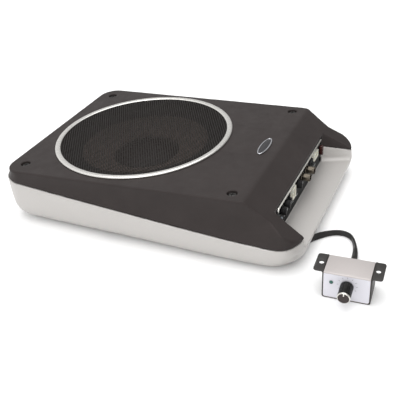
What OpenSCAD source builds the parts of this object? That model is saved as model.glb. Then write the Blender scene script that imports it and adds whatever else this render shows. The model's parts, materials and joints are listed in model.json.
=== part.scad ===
// Powered under-seat car subwoofer with its wired remote level control.
// X runs along the enclosure towards the control panel, Y across it, Z up.
// The origin is on the floor under the middle of the enclosure.

/* [Enclosure] */
// Length of the enclosure
body_l = 345; // [330:1:360]
// Width of the enclosure at the seam
body_w = 234; // [226:1:240]
// Height of the tub's underside above the floor
foot_h = 4; // [3:0.5:6]
// Wall thickness of the tub and the cover
wall = 2.6; // [2:0.1:3]
// Height of the seam between tub and cover at mid length
seam_z = 40.3; // [38:0.1:42]
// Fall of the seam towards the control panel, degrees
seam_fall = 4.19; // [3:0.01:5]

/* [Woofer] */
// Height of the grille ring's centre above the floor
ring_z = 69; // [68:0.5:72]
// Place of the woofer's axis along the enclosure
ring_x = -47; // [-52:1:-44]
// Rise of the top plate towards the control panel, degrees
top_rise = 1.9; // [0:0.1:3]
// Outer radius of the grille ring
ring_r = 102; // [98:0.5:103]
// Width of the grille ring
ring_w = 6.2; // [4:0.1:8]

/* [Control panel] */
// Outer face of the control panel along X
panel_x = 140; // [138:0.5:141]
// Height of the row of controls
control_z = 43.5; // [42:0.5:45]
// Radius of the panel's level and crossover knobs
panel_knob_r = 4.5; // [4:0.1:5]

/* [Remote control] */
// Turn of the remote about the vertical, degrees
remote_yaw = 3; // [0:0.5:10]
// Width of the remote's case
remote_w = 44; // [40:0.5:46]
// Depth of the remote's case
remote_d = 27; // [25:0.5:30]
// Height of the remote's case
remote_h = 29; // [26:0.5:30]
// Distance between the remote's two fixing holes
ear_holes = 51; // [50:0.5:56]
// Radius of the remote's fixing holes
ear_hole_r = 2.2; // [1.8:0.1:2.3]
// Radius of the remote's knob
remote_knob_r = 6; // [5:0.1:7]

/* [Remote lead] */
// Width of the flat lead
lead_w = 6.6; // [6:0.1:7]
// Thickness of the flat lead
lead_t = 2.2; // [2:0.1:2.3]

/* [Hidden] */

hull_fn = 32;
round_fn = 64;
x_end = body_l / 2;
half_w = body_w / 2;
belly_x = 60;
crease_x = 115.5;
plate_x = -164;
plate_w0 = 114;
plate_w1 = 107.3;
slope_w = 106.3;
slope_z = 55;
tip_x = 171;
tip_r = 23;
rear_tip = 0.55;
corner_r = 27;
plate_r = 20;
recess_y = 81;
recess_front_y = [87, 89.7];
recess_rear_y = [82, 109.6];
ledge_z = 21;
shoulder_x = 166;
shoulder_z = 37;
shoulder_w = 109.5;
woofer_r = 100;
screw_x = [-145.3, 100.4];
screw_y = 94;
foot_at = [[-135, -70], [-135, 70], [118, -91], [122, 78]];
bracket_hole_at = [[-120, -88], [-120, 88], [100, -88], [100, 88]];
panel_t = 2.4;
inner_floor = foot_h + wall;
cheek_fall = 20.2;
cheek_z = 41;
post_top = 28;
pillar_foot = 32;
insert_l = 8;
insert_r = 2.1;
level_y = [-64.5, -52, -12];
panel_screw_y = [-76.5, 76.5];
panel_screw_z = [26, 48];
rca_y = [4, 20];
led_at = [panel_x, -64.5, 34];
gap = 0.15;
rca_r = 4.15;
dome_r = 76;
remote_x = 219.5;
remote_y = -112;
sheet_t = 1;
knob_x = 0.8;
knob_z = 18;
remote_knob_l = 18.4;
led_x = -13.6;
led_z = 19;
cord_x = -1.5;
cord_z = 9.5;

// ---- shared forms ----

// Thin four-cornered sheet: w0 and w1 are its half widths at its ends x0 and x1.
// Its rear corner at x1 is tighter.
module sheet(x0, x1, w0, w1, r0, r1) {
    linear_extrude(0.02) hull() for (s = [-1, 1]) {
        end_r = s > 0 ? r1 * rear_tip : r1;
        translate([x0 + r0, s * (w0 - r0)]) circle(r = r0, $fn = hull_fn);
        translate([x1 - end_r, s * (w1 - end_r)]) circle(r = end_r, $fn = hull_fn);
    }
}

// Thin sheet in plan: w is its half width at its belly, and its sides draw in a little towards the ends
module leaf(x0, x1, w, r0, r1) {
    hull() {
        sheet(x0, x1, w - 1.8, w - 2.6, r0, r1);
        translate([belly_x - 5, -w, 0]) cube([10, 2 * w, 0.02]);
    }
}

// Solid form of the tub, its walls drawn in by i
module tub_form(i) {
    hull() {
        translate([0, 0, foot_h + i]) leaf(12 - x_end + i, x_end - 13 - i, 105.5 - i, corner_r - 4, tip_r + 2);
        translate([0, 0, foot_h + 3 + i * 0.6])
            leaf(6 - x_end + i, x_end - 8 - i, 109.5 - i, corner_r, tip_r + 2);
        translate([0, 0, foot_h + 11]) leaf(1.5 - x_end + i, x_end - 3.8 - i, 113.5 - i, corner_r + 1, tip_r + 2);
        translate([0, 0, 22]) leaf(0.8 - x_end + i, x_end - 0.7 - i, 115.5 - i, corner_r, tip_r + 2);
        translate([0, 0, 28]) leaf(0.4 - x_end + i, x_end - 1.4 - i, 116.4 - i, corner_r, tip_r + 2);
        translate([0, 0, 58]) leaf(-x_end + i, tip_x - 8 - i, half_w - i, corner_r, tip_r);
    }
}

// Everything below the seam plane, raised by dz
module below_seam(dz) {
    translate([0, 0, seam_z + dz]) rotate([0, seam_fall, 0])
        translate([-300, -200, -200]) cube([600, 400, 200]);
}

// Everything above the seam plane, raised by dz
module above_seam(dz) {
    translate([0, 0, seam_z + dz]) rotate([0, seam_fall, 0])
        translate([-300, -200, 0]) cube([600, 400, 200]);
}

// Puts its children in the woofer's tilted frame
module on_top() {
    translate([ring_x, 0, ring_z]) rotate([0, -top_rise, 0]) children();
}

// Solid form of the cover's main part, drawn in by i
module cover_main(i) {
    hull() {
        on_top() translate([-ring_x, 0, -0.02 - i])
            sheet(plate_x + i, crease_x, plate_w0 - i, plate_w1 - i, plate_r, 3);
        translate([0, 0, seam_z]) rotate([0, seam_fall, 0])
            leaf(-x_end + i, panel_x - i, half_w - i, corner_r, 3);
        translate([panel_x - i - 2, i - slope_w, slope_z - i - 1]) cube([2, 2 * (slope_w - i), 1]);
    }
}

// Solid form of one wing beside the panel recess: s is 1 for the rear wing and -1 for the front one
module cover_wing(i, s) {
    hull() {
        translate([panel_x - 3, s > 0 ? recess_y - 4 : i - slope_w, slope_z - i - 1])
            cube([3, slope_w - recess_y + 4 - i, 1]);
        translate([shoulder_x - i - 3, s > 0 ? recess_y - 4 : i - shoulder_w, shoulder_z - i - 1])
            cube([3, shoulder_w - recess_y + 4 - i, 1]);
        intersection() {
            translate([0, 0, seam_z]) rotate([0, seam_fall, 0])
                leaf(-x_end, tip_x - i, half_w - i, corner_r, tip_r);
            translate([panel_x - 3, s > 0 ? recess_y - 4 : -200, 0]) cube([100, 200 - recess_y + 4, 100]);
        }
    }
}

// Plan of the open recess in front of the panel, widened by g
module recess_plan(g) {
    polygon([[panel_x - g, -recess_front_y[0] - g], [x_end + 30, -recess_front_y[1] - g],
        [x_end + 30, recess_rear_y[1] + g], [panel_x - g, recess_rear_y[0] + g]]);
}

module recess(g, z0) {
    translate([0, 0, z0]) linear_extrude(100) recess_plan(g);
}

// Side walls of the recess that the tub carries up inside the wings, grown by g
module cheeks(g) {
    intersection() {
        difference() {
            recess(wall - 0.3 + 3 * g, ledge_z - wall + 0.3);
            recess(0.1 - g, 0);
            translate([0, -200, 0]) cube([panel_x - 0.2, 400, 100]);
        }
        translate([panel_x, 0, cheek_z + g]) rotate([0, cheek_fall, 0])
            translate([-50, -200, -60]) cube([150, 400, 60]);
    }
}

// Height of the top plate above the floor at x
function top_at(x) = ring_z + (x - ring_x) * tan(top_rise);

// Puts its children on the axis of each cover screw, z = 0 on the top plate
module at_cover_screws() {
    for (x = screw_x, s = [-1, 1]) on_top() translate([x - ring_x, s * screw_y, 0]) children();
}

module tube(r_out, r_in, h) {
    difference() {
        cylinder(r = r_out, h = h, $fn = round_fn);
        translate([0, 0, -1]) cylinder(r = r_in, h = h + 2, $fn = round_fn);
    }
}

// ---- enclosure ----

module lower_tub() {
    color("gainsboro") difference() {
        union() {
            difference() {
                intersection() { tub_form(0); below_seam(-0.15); }
                difference() {
                    tub_form(wall);
                    recess(wall, ledge_z - wall);
                }
                recess(0, ledge_z);
            }
            intersection() { tub_form(0.4); cheeks(0); }
            // posts that take the cover screws
            intersection() {
                tub_form(1);
                for (x = screw_x, s = [-1, 1]) on_top()
                    translate([x - ring_x, s * screw_y, post_top - top_at(x) - 30])
                        cylinder(r = 4.5, h = 30, $fn = round_fn);
            }
            // bosses round the bracket inserts
            for (p = bracket_hole_at)
                translate([p[0], p[1], foot_h + 1]) cylinder(r = 6.5, h = insert_l - 0.8, $fn = round_fn);
        }
        // opening behind the control panel
        translate([panel_x - 8, -recess_y, ledge_z]) cube([8.5, 2 * recess_y, 60]);
        for (x = screw_x, s = [-1, 1]) on_top()
            translate([x - ring_x, s * screw_y, post_top - top_at(x) - 15])
                cylinder(r = 1.6, h = 20, $fn = round_fn);
        for (p = bracket_hole_at)
            translate([p[0], p[1], foot_h - 1]) cylinder(r = 4.05, h = insert_l + 0.9, $fn = round_fn);
    }
}

module top_cover() {
    color("dimgray") difference() {
        union() {
            difference() {
                union() {
                    cover_main(0);
                    cover_wing(0, 1);
                    cover_wing(0, -1);
                }
                difference() {
                    union() {
                        cover_main(wall);
                        cover_wing(wall, 1);
                        cover_wing(wall, -1);
                    }
                    recess(wall + gap, 0);
                }
            }
            // collar that lowers the woofer's seat below the top plate
            on_top() translate([0, 0, -9]) cylinder(r = woofer_r + 2, h = 7, $fn = round_fn);
            // screw cups and pillars
            at_cover_screws() translate([0, 0, -6.5]) cylinder(r = 7.5, h = 5.5, $fn = round_fn);
            for (x = screw_x, s = [-1, 1]) on_top()
                translate([x - ring_x, s * screw_y, pillar_foot - top_at(x)])
                    cylinder(r = 5, h = top_at(x) - pillar_foot - 4, $fn = round_fn);
        }
        below_seam(0.15);
        recess(0, 10);
        cheeks(0.3);
        translate([panel_x - 9, -recess_y, 10]) cube([20, 2 * recess_y, slope_z - 11]);
        on_top() translate([0, 0, -20]) cylinder(r = 91, h = 40, $fn = 128);
        at_cover_screws() {
            translate([0, 0, -60]) cylinder(r = 2, h = 70, $fn = round_fn);
            translate([0, 0, -3.5]) cylinder(r = 5.2, h = 10, $fn = round_fn);
        }
    }
}

module trim_ring() {
    color("silver") on_top() rotate_extrude($fn = 128) polygon([
        [ring_r - 2.4, gap], [ring_r, gap], [ring_r, 1.5], [ring_r - 1, 2.4],
        [ring_r - ring_w + 1, 2.4], [ring_r - ring_w, 1.4], [ring_r - 2.4, 1.4]]);
}

// The perforated sheet, as a plain disc
module grille() {
    color("black") on_top() translate([0, 0, gap]) cylinder(r = ring_r - 2.6, h = 1, $fn = 128);
}

module badge() {
    color("silver") on_top() translate([146, 2.5, gap]) scale([0.3, 1, 1]) cylinder(r = 18.5, h = 1.6, $fn = 48);
}

module cover_screws() {
    color("black") for (x = screw_x, s = [-1, 1]) on_top() translate([x - ring_x, s * screw_y, -3.4]) {
        difference() {
            cylinder(r = 4.2, h = 2, $fn = round_fn);
            translate([-2.6, -0.5, 1]) cube([5.2, 1, 2]);
            translate([-0.5, -2.6, 1]) cube([1, 5.2, 2]);
        }
        translate([0, 0, post_top - 10 - top_at(x)])
            cylinder(r = 1.5, h = top_at(x) + 10 - post_top + 0.1, $fn = round_fn);
    }
}

// Thin light bead along the upper edge of the panel opening, turned down at its front end
module panel_trim() {
    color("silver") {
        translate([panel_x + gap, -76.5, slope_z - 2.2]) cube([1.6, 148.5, 1.6]);
        translate([panel_x + gap, -76.5, slope_z - 4.6]) rotate([0, 90, 0]) intersection() {
            tube(4, 2.4, 1.6);
            translate([-10, -10, -1]) cube([10, 10, 4]);
        }
    }
}

module rubber_feet() {
    color("black") {
        for (p = foot_at) translate([p[0], p[1], 0]) cylinder(r = 9, h = foot_h - 0.05, $fn = round_fn);
        translate([-8, -60, 0]) cube([16, 120, foot_h - 0.05]);
    }
}

// Brass inserts in the tub's floor for the screws of the mounting brackets
module bracket_inserts() {
    color("goldenrod") for (p = bracket_hole_at)
        translate([p[0], p[1], foot_h + 0.1]) tube(4, insert_r, insert_l - 0.3);
}

// ---- control panel ----

module knob_hole(y, r) {
    translate([panel_x - 10, y, control_z]) rotate([0, 90, 0]) cylinder(r = r, h = 20, $fn = round_fn);
}

module control_panel() {
    color("darkslategray") difference() {
        translate([panel_x - panel_t - 1, -recess_y + 0.3, ledge_z + 0.3])
            cube([panel_t, 2 * recess_y - 0.6, slope_z - 1.6 - ledge_z]);
        for (y = level_y) knob_hole(y, 2.2);
        for (y = rca_y) knob_hole(y, 4.6);
        translate([panel_x - 10, -44.1, control_z - 2.1]) cube([20, 8.2, 4.2]);
        translate([panel_x - 10, -34.2, 36.8]) cube([20, 10.4, 13.2]);
        translate([panel_x - 10, 27.8, 38.8]) cube([20, 10.4, 9.4]);
        translate([panel_x - 10, 43.8, 40.3]) cube([20, 15.4, 8.4]);
        translate([panel_x - 10, 61.8, 37.8]) cube([20, 7.4, 12.4]);
        translate([panel_x - 10, led_at[1], led_at[2]]) rotate([0, 90, 0]) cylinder(r = 1.6, h = 20, $fn = round_fn);
        for (y = panel_screw_y, z = panel_screw_z) translate([panel_x - 10, y, z]) rotate([0, 90, 0])
            cylinder(r = 1.3, h = 20, $fn = round_fn);
    }
}

module panel_screws() {
    color("black") for (y = panel_screw_y, z = panel_screw_z) translate([0, y, z]) rotate([0, 90, 0]) {
        translate([0, 0, panel_x - 0.95]) cylinder(r = 2.2, h = 1.2, $fn = 24);
        translate([0, 0, panel_x - 7]) cylinder(r = 1.1, h = 6.1, $fn = 24);
    }
}

// Ribbed knob with a pointer notch, its axis along +X
module panel_knob(y) {
    translate([panel_x - 0.5, y, control_z]) rotate([0, 90, 0]) difference() {
        cylinder(r = panel_knob_r, h = 6, $fn = round_fn);
        translate([0, 0, -1]) cylinder(r = 1.55, h = 5.6, $fn = round_fn);
        translate([-5.2, -0.4, 5.3]) cube([4, 0.8, 2]);
    }
}

module crossover_knob() { color("black") panel_knob(level_y[0]); }
module gain_knob() { color("black") panel_knob(level_y[1]); }
module boost_knob() { color("black") panel_knob(level_y[2]); }

// Potentiometers on the board with their shafts
module control_shafts() {
    color("gray") for (y = level_y) {
        translate([panel_x - 17, y - 4.8, control_z - 5]) cube([10, 9.6, 10]);
        translate([panel_x - 17, y, control_z]) rotate([0, 90, 0]) cylinder(r = 1.5, h = 20.7, $fn = round_fn);
        translate([panel_x - 14, y - 3, 16]) cube([1, 6, control_z - 20]);
    }
}

module phase_switch() {
    color("black") translate([panel_x - 6, -43.6, control_z - 1.2]) cube([9, 3, 2.4]);
}

module phase_switch_body() {
    color("gray") {
        translate([panel_x - 14, -45, control_z - 3.5]) cube([7.6, 10, 7]);
        translate([panel_x - 12, -42, 16]) cube([1, 4, control_z - 19]);
    }
}

module socket_shell(y0, z0, w, h, rim) {
    difference() {
        translate([panel_x - 13, y0, z0]) cube([15, w, h]);
        translate([panel_x - 10, y0 + rim, z0 + rim]) cube([20, w - 2 * rim, h - 2 * rim]);
    }
    translate([panel_x - 12.8, y0 + w / 2 - 2, 16]) cube([1, 4, z0 - 15.5]);
}

module speaker_input_socket() {
    color("ivory") {
        socket_shell(-34, 37, 10, 12.8, 1.2);
        for (z = [41, 45.6]) translate([panel_x - 10.5, -29.5, z]) cube([8, 1, 1]);
    }
}

module rca_jack_shells() {
    color("gold") for (y = rca_y) translate([panel_x - 8, y, control_z]) rotate([0, 90, 0]) {
        difference() {
            union() {
                cylinder(r = rca_r, h = 17, $fn = round_fn);
                translate([0, 0, 7.2]) cylinder(r = rca_r + 1.25, h = 1.2, $fn = round_fn);
            }
            translate([0, 0, 1]) cylinder(r = rca_r - 0.65, h = 18, $fn = round_fn);
        }
    }
}

module rca_jack_inserts() {
    color("white") for (y = rca_y) translate([panel_x - 6.9, y, control_z]) rotate([0, 90, 0])
        difference() {
            cylinder(r = 3.4, h = 13, $fn = round_fn);
            translate([0, 0, 1]) cylinder(r = 1.6, h = 14, $fn = round_fn);
        }
}

module remote_port() {
    color("black") socket_shell(28, 39, 10, 9, 1.4);
}

module power_socket() {
    color("ivory") {
        socket_shell(44, 40.5, 15, 8, 1.2);
        for (y = [47, 51, 55]) translate([panel_x - 10.5, y, 44]) cube([8, 1.2, 1]);
    }
}

// Blade fuse: a body with two flat blades, pushed in along -X
module fuse() {
    color("firebrick") {
        translate([panel_x + 1.6, 63.6, 38.8]) cube([4, 3.8, 10.4]);
        for (z = [39.8, 45.2]) translate([panel_x - 8, 65.1, z]) cube([10, 0.8, 3]);
    }
}

module fuse_holder() {
    color("black") {
        difference() {
            translate([panel_x - 13, 62, 38]) cube([14, 7, 12]);
            for (z = [39.5, 44.9]) translate([panel_x - 9, 64.8, z]) cube([20, 1.4, 3.6]);
        }
        translate([panel_x - 12.8, 63.5, 16]) cube([1, 4, 22.5]);
    }
}

module power_led() {
    color("dodgerblue") {
        translate([panel_x - 6, led_at[1], led_at[2]]) rotate([0, 90, 0]) cylinder(r = 1.5, h = 6.4, $fn = 24);
        translate([panel_x - 6, led_at[1] - 0.5, 16]) cube([0.6, 1, 18]);
    }
}

// ---- amplifier ----

module amplifier_board() {
    color("green") difference() {
        translate([64, -74, 14]) cube([70, 148, 1.6]);
        for (x = [67, 131], y = [-70, 70])
            translate([x, y, 10]) cylinder(r = 1.6, h = 10, $fn = 24);
    }
}

module toroid_core() {
    color("goldenrod") translate([84, -44, 16]) tube(13, 6, 12);
}

module capacitors() {
    color("midnightblue") for (p = [[84, 20], [84, 38], [106, 30]])
        translate([p[0], p[1], 15.8]) cylinder(r = 8, h = 26, $fn = round_fn);
}

module power_transistors() {
    color("black") for (y = [-20, -6, 8]) translate([66.5, y, 16]) cube([4.6, 10.4, 16]);
}

// Aluminium plate that carries the transistors' heat into the floor of the tub
module heat_spreader() {
    color("silver") {
        translate([62, -66, inner_floor + 0.1]) cube([66, 132, 3]);
        translate([62, -24, 18]) cube([4.2, 46, 15]);
        translate([60, -24, inner_floor + 0.1]) cube([3.6, 46, 26.3]);
    }
}

// Pair of leads between the driver's terminals and the board
module woofer_lead() {
    color("red") for (y = [27, 31]) translate([70, y, 29.7]) {
        translate([-61, 0, 0]) rotate([0, 90, 0]) cylinder(r = 1, h = 61, $fn = 24);
        translate([0, 0, -14]) cylinder(r = 1, h = 14, $fn = 24);
        sphere(r = 1, $fn = 24);
    }
}

// ---- driver, drawn in the tilted frame with z = 0 at the grille's seat ----

module basket() {
    color("black") on_top() difference() {
        rotate_extrude($fn = 96) polygon([[woofer_r, -10.6], [woofer_r, -12.6], [91, -12.6],
            [62, -36], [62, -38.5], [30, -38.5], [30, -36.5], [59, -36.5], [59, -34.4], [88, -12],
            [88, -10.6]]);
        for (a = [0 : 45 : 315]) rotate([0, 0, a + 22.5]) translate([64, -13, -34]) cube([22, 26, 18]);
        for (a = [0 : 45 : 315]) rotate([0, 0, a]) translate([95.6, 0, -20])
            cylinder(r = 2.2, h = 20, $fn = 24);
    }
}

module basket_gasket() {
    color("black") on_top() translate([0, 0, -10.5]) difference() {
        tube(woofer_r, 91.5, 1.4);
        for (a = [0 : 45 : 315]) rotate([0, 0, a]) translate([95.6, 0, -1])
            cylinder(r = 2.2, h = 4, $fn = 24);
    }
}

module woofer_screws() {
    color("black") on_top() for (a = [0 : 45 : 315]) rotate([0, 0, a]) translate([95.6, 0, 0]) {
        translate([0, 0, -14.4]) cylinder(r = 3.6, h = 1.7, $fn = 24);
        translate([0, 0, -13]) cylinder(r = 1.9, h = 3.9, $fn = 24);
    }
}

module surround() {
    color("black") on_top() rotate_extrude($fn = 96) polygon(concat(
        [[91, -10.5], [88, -10.5]],
        [for (a = [0 : 18 : 180]) [81.5 + 6.4 * cos(a), -10.5 + 5.2 * sin(a)]],
        [[73, -10.5], [73, -9.7], [75.1, -9.7]],
        [for (a = [180 : -18 : 0]) [81.5 + 6.9 * cos(a), -9.8 + 5.3 * sin(a)]],
        [[91, -9.9]]));
}

module cone() {
    color("darkgray") on_top() rotate_extrude($fn = 96) polygon([[76, -11.6], [76, -10.6], [73.5, -10.6],
        [26.2, -26], [26.2, -27.4], [28, -27.4], [73.5, -11.6]]);
}

module dust_cap() {
    color("black") on_top() translate([0, 0, -21.5 - dome_r * cos(30)]) rotate_extrude($fn = 64) polygon(concat(
        [for (a = [0 : 6 : 30]) dome_r * [sin(a), cos(a)]],
        [for (a = [30 : -6 : 0]) (dome_r - 0.8) * [sin(a), cos(a)]]));
}

module voice_coil() {
    color("chocolate") on_top() {
        translate([0, 0, -44]) tube(25.4, 25, 18);
        translate([0, 0, -44]) tube(25.9, 25.3, 7);
    }
}

module spider() {
    color("khaki") on_top() rotate_extrude($fn = 96) polygon(concat(
        [for (i = [0 : 16]) [25.7 + i * 2, -32.8 + (i % 2) * 1.2]],
        [for (i = [16 : -1 : 0]) [25.7 + i * 2, -32.2 + (i % 2) * 1.2]]));
}

module terminal_block() {
    color("black") on_top() translate([50.5, 21, -43.5]) difference() {
        cube([8, 16, 4.8]);
        for (y = [6, 10]) translate([2.5, y - 1.2, 1.2]) cube([6, 2.4, 2.4]);
    }
}

module motor_top_plate() {
    color("gray") on_top() translate([0, 0, -43.6]) tube(50, 26.3, 5);
}

module magnet() {
    color("black") on_top() translate([0, 0, -53.6]) tube(54, 30, 9.9);
}

module back_yoke() {
    color("gray") on_top() {
        translate([0, 0, -58]) cylinder(r = 50, h = 4.3, $fn = round_fn);
        translate([0, 0, -54]) cylinder(r = 24.6, h = 15.4, $fn = round_fn);
    }
}

// ---- remote control, drawn in its own frame: front towards -y, z = 0 on the floor ----

module at_remote() {
    translate([remote_x, remote_y, 0]) rotate([0, 0, remote_yaw]) children();
}

// U-shaped bracket: floor, two cheeks and two ears
module remote_bracket() {
    color("black") at_remote() difference() {
        union() {
            difference() {
                translate([-remote_w / 2, -remote_d / 2, 0]) cube([remote_w, remote_d, remote_h]);
                translate([-remote_w / 2 + sheet_t, -remote_d, sheet_t])
                    cube([remote_w - 2 * sheet_t, 2 * remote_d, remote_h]);
            }
            for (s = [-1, 1])
                translate([s > 0 ? remote_w / 2 - sheet_t : -remote_w / 2 - 9, -12.5, remote_h - sheet_t])
                cube([9 + sheet_t, 25.5, sheet_t]);
        }
        for (s = [-1, 1]) translate([s * ear_holes / 2, 0, remote_h - 5])
            cylinder(r = ear_hole_r, h = 10, $fn = round_fn);
    }
}

// Inverted U: front, top and back
module remote_cover() {
    inner_w = remote_w - 2 * sheet_t - 0.4;
    color("lightgray") at_remote() difference() {
        translate([-inner_w / 2, -remote_d / 2 - 0.1, sheet_t + 0.1])
            cube([inner_w, remote_d + 0.2, remote_h - sheet_t - 0.1]);
        translate([-inner_w, -remote_d / 2 + 0.9, -1]) cube([2 * inner_w, remote_d - 1.8, remote_h - 0.2]);
        translate([knob_x, 0, knob_z]) rotate([90, 0, 0]) cylinder(r = 3.6, h = 30, $fn = round_fn);
        translate([led_x, 0, led_z]) rotate([90, 0, 0]) cylinder(r = 1.6, h = 30, $fn = round_fn);
        translate([cord_x - 4.4, 5, cord_z - 2.1]) cube([8.8, 20, 4.2]);
    }
}

module knob_axis() {
    at_remote() translate([knob_x, -remote_d / 2 - 0.1, knob_z]) rotate([90, 0, 0]) children();
}

module remote_knob() {
    color("black") knob_axis() difference() {
        union() {
            translate([0, 0, 1.2]) cylinder(r = remote_knob_r, h = remote_knob_l - 2.6, $fn = round_fn);
            translate([0, 0, remote_knob_l - 1.4]) cylinder(r = remote_knob_r - 0.6, h = 1.4, $fn = round_fn);
        }
        cylinder(r = 3.05, h = 12, $fn = round_fn);
    }
}

// Bright collar with its pointer line, pressed on the knob's end
module remote_knob_collar() {
    color("silver") knob_axis() {
        translate([0, 0, remote_knob_l - 1.35]) tube(remote_knob_r, remote_knob_r - 0.55, 0.7);
        translate([-0.5, remote_knob_r - 3.6, remote_knob_l + 0.05]) cube([1, 3, 0.3]);
    }
}

module remote_control_pot() {
    color("gray") knob_axis() {
        translate([0, 0, -8]) cylinder(r = 7, h = 6.9, $fn = round_fn);
        translate([0, 0, -1.1]) cylinder(r = 3.5, h = 1.9, $fn = round_fn);
        translate([0, 0, 0.2]) cylinder(r = 3, h = 11, $fn = round_fn);
    }
}

module remote_led() {
    color("teal") at_remote() translate([led_x, -remote_d / 2 + 6, led_z]) rotate([90, 0, 0])
        cylinder(r = 1.5, h = 6.8, $fn = 24);
}

module remote_board() {
    color("green") at_remote() translate([-18, -remote_d / 2 + 8.2, 3]) cube([36, 1.6, 22]);
}

module remote_cover_screws() {
    color("black") at_remote() for (s = [-1, 1]) translate([s * (remote_w / 2 + 0.05), 4, 18]) rotate([0, s * 90, 0])
        cylinder(r = 2, h = 1, $fn = 24);
}

// Slotted rubber grommet in the back of the case
module remote_grommet() {
    color("black") at_remote() translate([cord_x, remote_d / 2, cord_z]) {
        translate([-4.3, -1.6, -2]) cube([8.6, 1.9, 4]);
        translate([-5.4, 0.2, -3]) cube([10.8, 2.2, 6]);
    }
}

// ---- remote lead ----

// Route from the grommet to the hank: x, y, height of the middle, and lean from flat in degrees
lead_route = [[217.2, -96.1, 9.5, 0], [216.6, -88, 9.3, 0], [215.8, -79, 8, 8], [214.6, -69, 6, 25],
    [212.8, -58, 4.6, 50], [210, -47, 3.7, 75], [206, -37, 3.5, 90], [201, -31, 3.5, 90],
    [194, -28.6, 3.5, 90], [187, -29.6, 3.5, 90], [180, -33.4, 3.5, 85], [173, -39.2, 3.5, 65],
    [166, -46, 2.8, 35], [160, -52, 1.6, 8], [152, -59.5, 1.3, 0], [142, -67, 1.3, 0],
    [128, -72, 1.3, 0], [112, -72, 1.3, 0], [96, -67, 1.3, 0], [80, -58, 1.3, 0], [66, -45, 1.3, 0],
    [55, -29, 1.3, 0], [48, -10, 1.3, 0], [46, 10, 1.3, 0], [49, 30, 1.3, 0], [56, 48, 1.3, 0],
    [65, 65, 1.3, 0], [74, 80, 1.3, 0], [81, 92, 1.3, 0], [85, 102, 1.3, 0], [86.6, 112, 2.6, 30],
    [87, 122, 3.5, 75], [87, 131.5, 3.5, 90]];
tail_route = [[-51.5, 170, 9.8, 90], [-58, 169.8, 8.6, 90], [-66, 169, 5.6, 90], [-73, 167.8, 3.9, 90],
    [-80, 166.4, 3.5, 90]];
hank_at = [10, 143];
hank_run = 100;
hank_r = 28.2;
hank_inner_r = 13.6;
hank_h = 13.6;

function half_section() = [[lead_w / 2, -lead_t / 4], [lead_w / 2, lead_t / 4], [lead_w / 2 - 0.6, lead_t / 2],
    [-lead_w / 2 + 0.6, lead_t / 2], [-lead_w / 2, lead_t / 4], [-lead_w / 2, -lead_t / 4],
    [-lead_w / 2 + 0.6, -lead_t / 2], [lead_w / 2 - 0.6, -lead_t / 2]];

function unit(v) = v / norm(v);
function xyz(p) = [p[0], p[1], p[2]];

// The eight corners of the flat lead's section at point i of a route
function ring_at(route, i) =
    let (a = xyz(route[max(i - 1, 0)]), b = xyz(route[min(i + 1, len(route) - 1)]),
        along = unit(b - a), side = unit(cross(along, [0, 0, 1])), up = cross(side, along),
        lean = route[i][3])
    [for (q = half_section()) xyz(route[i])
        + q[0] * (cos(lean) * side + sin(lean) * up) + q[1] * (cos(lean) * up - sin(lean) * side)];

module flat_lead(route) {
    n = len(route);
    points = [for (i = [0 : n - 1]) each ring_at(route, i)];
    sides = [for (i = [0 : n - 2], k = [0 : 7]) let (a = i * 8 + k, b = i * 8 + (k + 1) % 8)
        each [[a, b, b + 8], [a, b + 8, a + 8]]];
    polyhedron(points, concat([[for (k = [7 : -1 : 0]) k]], sides, [[for (k = [0 : 7]) (n - 1) * 8 + k]]), 10);
}

module remote_cord() { color("black") flat_lead(lead_route); }

module stadium(r) {
    hull() for (s = [-1, 1]) translate([s * hank_run / 2, 0]) circle(r = r, $fn = 48);
}

module cord_hank() {
    color("black") translate([hank_at[0], hank_at[1], 0]) linear_extrude(hank_h) difference() {
        stadium(hank_r);
        stadium(hank_inner_r);
    }
}

module cord_tail() {
    color("black") flat_lead(tail_route);
}

module cord_tie() {
    color("black") translate([hank_at[0], hank_at[1], 0]) difference() {
        translate([-3, -hank_r - 1.3, 0]) cube([6, 2 * hank_r + 2.6, hank_h + 1.3]);
        translate([-5, -hank_r - 0.1, -1]) cube([10, 2 * hank_r + 0.2, hank_h + 1.1]);
    }
}

// Modular plug on the free end of the lead
module cord_plug() {
    color("lightgray") translate([-80.1, 166.4, 0]) rotate([0, 0, 11]) translate([-14, -3.4, 0.2]) cube([14, 6.8, 9.6]);
}

lower_tub();
top_cover();
trim_ring();
grille();
badge();
cover_screws();
panel_trim();
rubber_feet();
bracket_inserts();
control_panel();
panel_screws();
crossover_knob();
gain_knob();
boost_knob();
control_shafts();
phase_switch();
phase_switch_body();
speaker_input_socket();
rca_jack_shells();
rca_jack_inserts();
remote_port();
power_socket();
fuse();
fuse_holder();
power_led();
amplifier_board();
toroid_core();
capacitors();
power_transistors();
heat_spreader();
woofer_lead();
basket();
basket_gasket();
woofer_screws();
surround();
cone();
dust_cap();
voice_coil();
spider();
terminal_block();
motor_top_plate();
magnet();
back_yoke();
remote_bracket();
remote_cover();
remote_knob();
remote_knob_collar();
remote_control_pot();
remote_led();
remote_board();
remote_cover_screws();
remote_grommet();
remote_cord();
cord_hank();
cord_tail();
cord_tie();
cord_plug();
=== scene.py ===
"""Looks of the powered car subwoofer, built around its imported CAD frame.

Shapes are drawn in millimetres in the frame's own axes, and piece() turns them into metres.
"""

from functools import reduce
import json
import math

import bmesh
import bpy
import numpy as np
from mathutils import Matrix, Vector

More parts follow.
